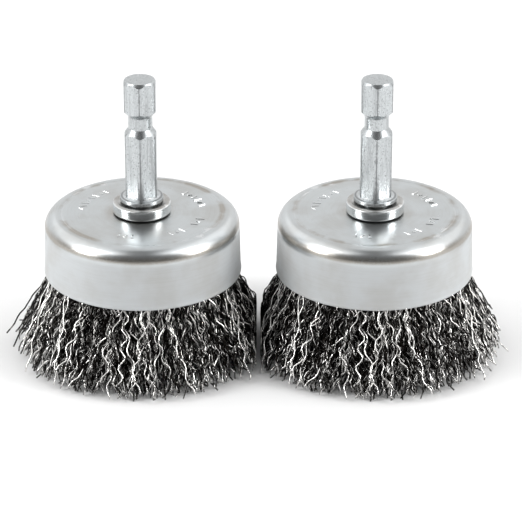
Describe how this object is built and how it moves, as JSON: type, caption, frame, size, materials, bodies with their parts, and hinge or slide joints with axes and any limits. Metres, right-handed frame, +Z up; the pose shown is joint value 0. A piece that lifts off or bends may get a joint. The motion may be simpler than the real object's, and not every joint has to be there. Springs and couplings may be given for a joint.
{
  "type": "wire cup brush pair",
  "caption": "Crimped-wire cup brushes for a power drill: flared steel wires clamped in a round pressed cup, on a hex quick-change shank.",
  "frame": {"origin": "on the surface that the brushes stand on, midway between the two brush axes", "axes": "+Z up along both shanks, +X from the left brush to the right one, +Y away from the viewer"},
  "size_m": [0.099, 0.0518, 0.0589],
  "materials": {
    "zinc_plate": "satin zinc plate",
    "bright_zinc": "bright zinc plate",
    "wire_steel": "dark drawn steel wire, oiled"
  },
  "bodies": {
    "left_brush": {"left_hex_shank": "bright_zinc", "left_spacer_washer": "bright_zinc", "left_cup": "zinc_plate", "left_retainer_cup": "zinc_plate", "left_backing_washer": "zinc_plate", "left_wire_root": "wire_steel", "left_anchor_ring": "bright_zinc", "left_wire_tuft_01": "wire_steel", "left_wire_tuft_02": "wire_steel", "left_wire_tuft_12": "wire_steel"},
    "left_tuft_03": {"left_wire_tuft_03": "wire_steel"},
    "left_tuft_04": {"left_wire_tuft_04": "wire_steel"},
    "left_tuft_05": {"left_wire_tuft_05": "wire_steel"},
    "left_tuft_06": {"left_wire_tuft_06": "wire_steel"},
    "left_tuft_07": {"left_wire_tuft_07": "wire_steel"},
    "left_tuft_08": {"left_wire_tuft_08": "wire_steel"},
    "left_tuft_09": {"left_wire_tuft_09": "wire_steel"},
    "left_tuft_10": {"left_wire_tuft_10": "wire_steel"},
    "left_tuft_11": {"left_wire_tuft_11": "wire_steel"},
    "right_brush": {"right_hex_shank": "bright_zinc", "right_spacer_washer": "bright_zinc", "right_cup": "zinc_plate", "right_retainer_cup": "zinc_plate", "right_backing_washer": "zinc_plate", "right_wire_root": "wire_steel", "right_anchor_ring": "bright_zinc", "right_wire_tuft_06": "wire_steel", "right_wire_tuft_07": "wire_steel", "right_wire_tuft_08": "wire_steel"},
    "right_tuft_01": {"right_wire_tuft_01": "wire_steel"},
    "right_tuft_02": {"right_wire_tuft_02": "wire_steel"},
    "right_tuft_03": {"right_wire_tuft_03": "wire_steel"},
    "right_tuft_04": {"right_wire_tuft_04": "wire_steel"},
    "right_tuft_05": {"right_wire_tuft_05": "wire_steel"},
    "right_tuft_09": {"right_wire_tuft_09": "wire_steel"},
    "right_tuft_10": {"right_wire_tuft_10": "wire_steel"},
    "right_tuft_11": {"right_wire_tuft_11": "wire_steel"},
    "right_tuft_12": {"right_wire_tuft_12": "wire_steel"}
  },
  "joints": [
    {"name": "left_tuft_03_flex", "type": "hinge", "parent": "left_brush", "child": "left_tuft_03", "pos_m": [-0.01408, 0.0165, 0.0175], "axis": [0.866, -0.5, 0], "range_deg": [0, 8], "stiffness_Nm_per_rad": 0.08},
    {"name": "left_tuft_04_flex", "type": "hinge", "parent": "left_brush", "child": "left_tuft_04", "pos_m": [-0.0236, 0.01905, 0.0175], "axis": [1, 0, 0], "range_deg": [0, 8], "stiffness_Nm_per_rad": 0.08},
    {"name": "left_tuft_05_flex", "type": "hinge", "parent": "left_brush", "child": "left_tuft_05", "pos_m": [-0.03313, 0.0165, 0.0175], "axis": [0.866, 0.5, 0], "range_deg": [0, 8], "stiffness_Nm_per_rad": 0.08},
    {"name": "left_tuft_06_flex", "type": "hinge", "parent": "left_brush", "child": "left_tuft_06", "pos_m": [-0.0401, 0.00953, 0.0175], "axis": [0.5, 0.866, 0], "range_deg": [0, 8], "stiffness_Nm_per_rad": 0.08},
    {"name": "left_tuft_07_flex", "type": "hinge", "parent": "left_brush", "child": "left_tuft_07", "pos_m": [-0.04265, 0, 0.0175], "axis": [0, 1, 0], "range_deg": [0, 8], "stiffness_Nm_per_rad": 0.08},
    {"name": "left_tuft_08_flex", "type": "hinge", "parent": "left_brush", "child": "left_tuft_08", "pos_m": [-0.0401, -0.00953, 0.0175], "axis": [-0.5, 0.866, 0], "range_deg": [0, 8], "stiffness_Nm_per_rad": 0.08},
    {"name": "left_tuft_09_flex", "type": "hinge", "parent": "left_brush", "child": "left_tuft_09", "pos_m": [-0.03313, -0.0165, 0.0175], "axis": [-0.866, 0.5, 0], "range_deg": [0, 8], "stiffness_Nm_per_rad": 0.08},
    {"name": "left_tuft_10_flex", "type": "hinge", "parent": "left_brush", "child": "left_tuft_10", "pos_m": [-0.0236, -0.01905, 0.0175], "axis": [-1, 0, 0], "range_deg": [0, 8], "stiffness_Nm_per_rad": 0.08},
    {"name": "left_tuft_11_flex", "type": "hinge", "parent": "left_brush", "child": "left_tuft_11", "pos_m": [-0.01408, -0.0165, 0.0175], "axis": [-0.866, -0.5, 0], "range_deg": [0, 8], "stiffness_Nm_per_rad": 0.08},
    {"name": "right_brush_lift", "type": "slide", "parent": "left_brush", "child": "right_brush", "axis": [0, 0, 1], "range_m": [0, 0.07]},
    {"name": "right_tuft_01_flex", "type": "hinge", "parent": "right_brush", "child": "right_tuft_01", "pos_m": [0.04265, 0, 0.0175], "axis": [0, -1, 0], "range_deg": [0, 8], "stiffness_Nm_per_rad": 0.08},
    {"name": "right_tuft_02_flex", "type": "hinge", "parent": "right_brush", "child": "right_tuft_02", "pos_m": [0.0401, 0.00953, 0.0175], "axis": [0.5, -0.866, 0], "range_deg": [0, 8], "stiffness_Nm_per_rad": 0.08},
    {"name": "right_tuft_03_flex", "type": "hinge", "parent": "right_brush", "child": "right_tuft_03", "pos_m": [0.03313, 0.0165, 0.0175], "axis": [0.866, -0.5, 0], "range_deg": [0, 8], "stiffness_Nm_per_rad": 0.08},
    {"name": "right_tuft_04_flex", "type": "hinge", "parent": "right_brush", "child": "right_tuft_04", "pos_m": [0.0236, 0.01905, 0.0175], "axis": [1, 0, 0], "range_deg": [0, 8], "stiffness_Nm_per_rad": 0.08},
    {"name": "right_tuft_05_flex", "type": "hinge", "parent": "right_brush", "child": "right_tuft_05", "pos_m": [0.01408, 0.0165, 0.0175], "axis": [0.866, 0.5, 0], "range_deg": [0, 8], "stiffness_Nm_per_rad": 0.08},
    {"name": "right_tuft_09_flex", "type": "hinge", "parent": "right_brush", "child": "right_tuft_09", "pos_m": [0.01408, -0.0165, 0.0175], "axis": [-0.866, 0.5, 0], "range_deg": [0, 8], "stiffness_Nm_per_rad": 0.08},
    {"name": "right_tuft_10_flex", "type": "hinge", "parent": "right_brush", "child": "right_tuft_10", "pos_m": [0.0236, -0.01905, 0.0175], "axis": [-1, 0, 0], "range_deg": [0, 8], "stiffness_Nm_per_rad": 0.08},
    {"name": "right_tuft_11_flex", "type": "hinge", "parent": "right_brush", "child": "right_tuft_11", "pos_m": [0.03313, -0.0165, 0.0175], "axis": [-0.866, -0.5, 0], "range_deg": [0, 8], "stiffness_Nm_per_rad": 0.08},
    {"name": "right_tuft_12_flex", "type": "hinge", "parent": "right_brush", "child": "right_tuft_12", "pos_m": [0.0401, -0.00953, 0.0175], "axis": [-0.5, -0.866, 0], "range_deg": [0, 8], "stiffness_Nm_per_rad": 0.08}
  ],
  "couplings": [
    {"joint": "left_tuft_04_flex", "follows": "left_tuft_03_flex", "ratio": 1},
    {"joint": "left_tuft_05_flex", "follows": "left_tuft_03_flex", "ratio": 1},
    {"joint": "left_tuft_06_flex", "follows": "left_tuft_03_flex", "ratio": 1},
    {"joint": "left_tuft_07_flex", "follows": "left_tuft_03_flex", "ratio": 1},
    {"joint": "left_tuft_08_flex", "follows": "left_tuft_03_flex", "ratio": 1},
    {"joint": "left_tuft_09_flex", "follows": "left_tuft_03_flex", "ratio": 1},
    {"joint": "left_tuft_10_flex", "follows": "left_tuft_03_flex", "ratio": 1},
    {"joint": "left_tuft_11_flex", "follows": "left_tuft_03_flex", "ratio": 1},
    {"joint": "right_tuft_02_flex", "follows": "right_tuft_01_flex", "ratio": 1},
    {"joint": "right_tuft_03_flex", "follows": "right_tuft_01_flex", "ratio": 1},
    {"joint": "right_tuft_04_flex", "follows": "right_tuft_01_flex", "ratio": 1},
    {"joint": "right_tuft_05_flex", "follows": "right_tuft_01_flex", "ratio": 1},
    {"joint": "right_tuft_09_flex", "follows": "right_tuft_01_flex", "ratio": 1},
    {"joint": "right_tuft_10_flex", "follows": "right_tuft_01_flex", "ratio": 1},
    {"joint": "right_tuft_11_flex", "follows": "right_tuft_01_flex", "ratio": 1},
    {"joint": "right_tuft_12_flex", "follows": "right_tuft_01_flex", "ratio": 1}
  ]
}
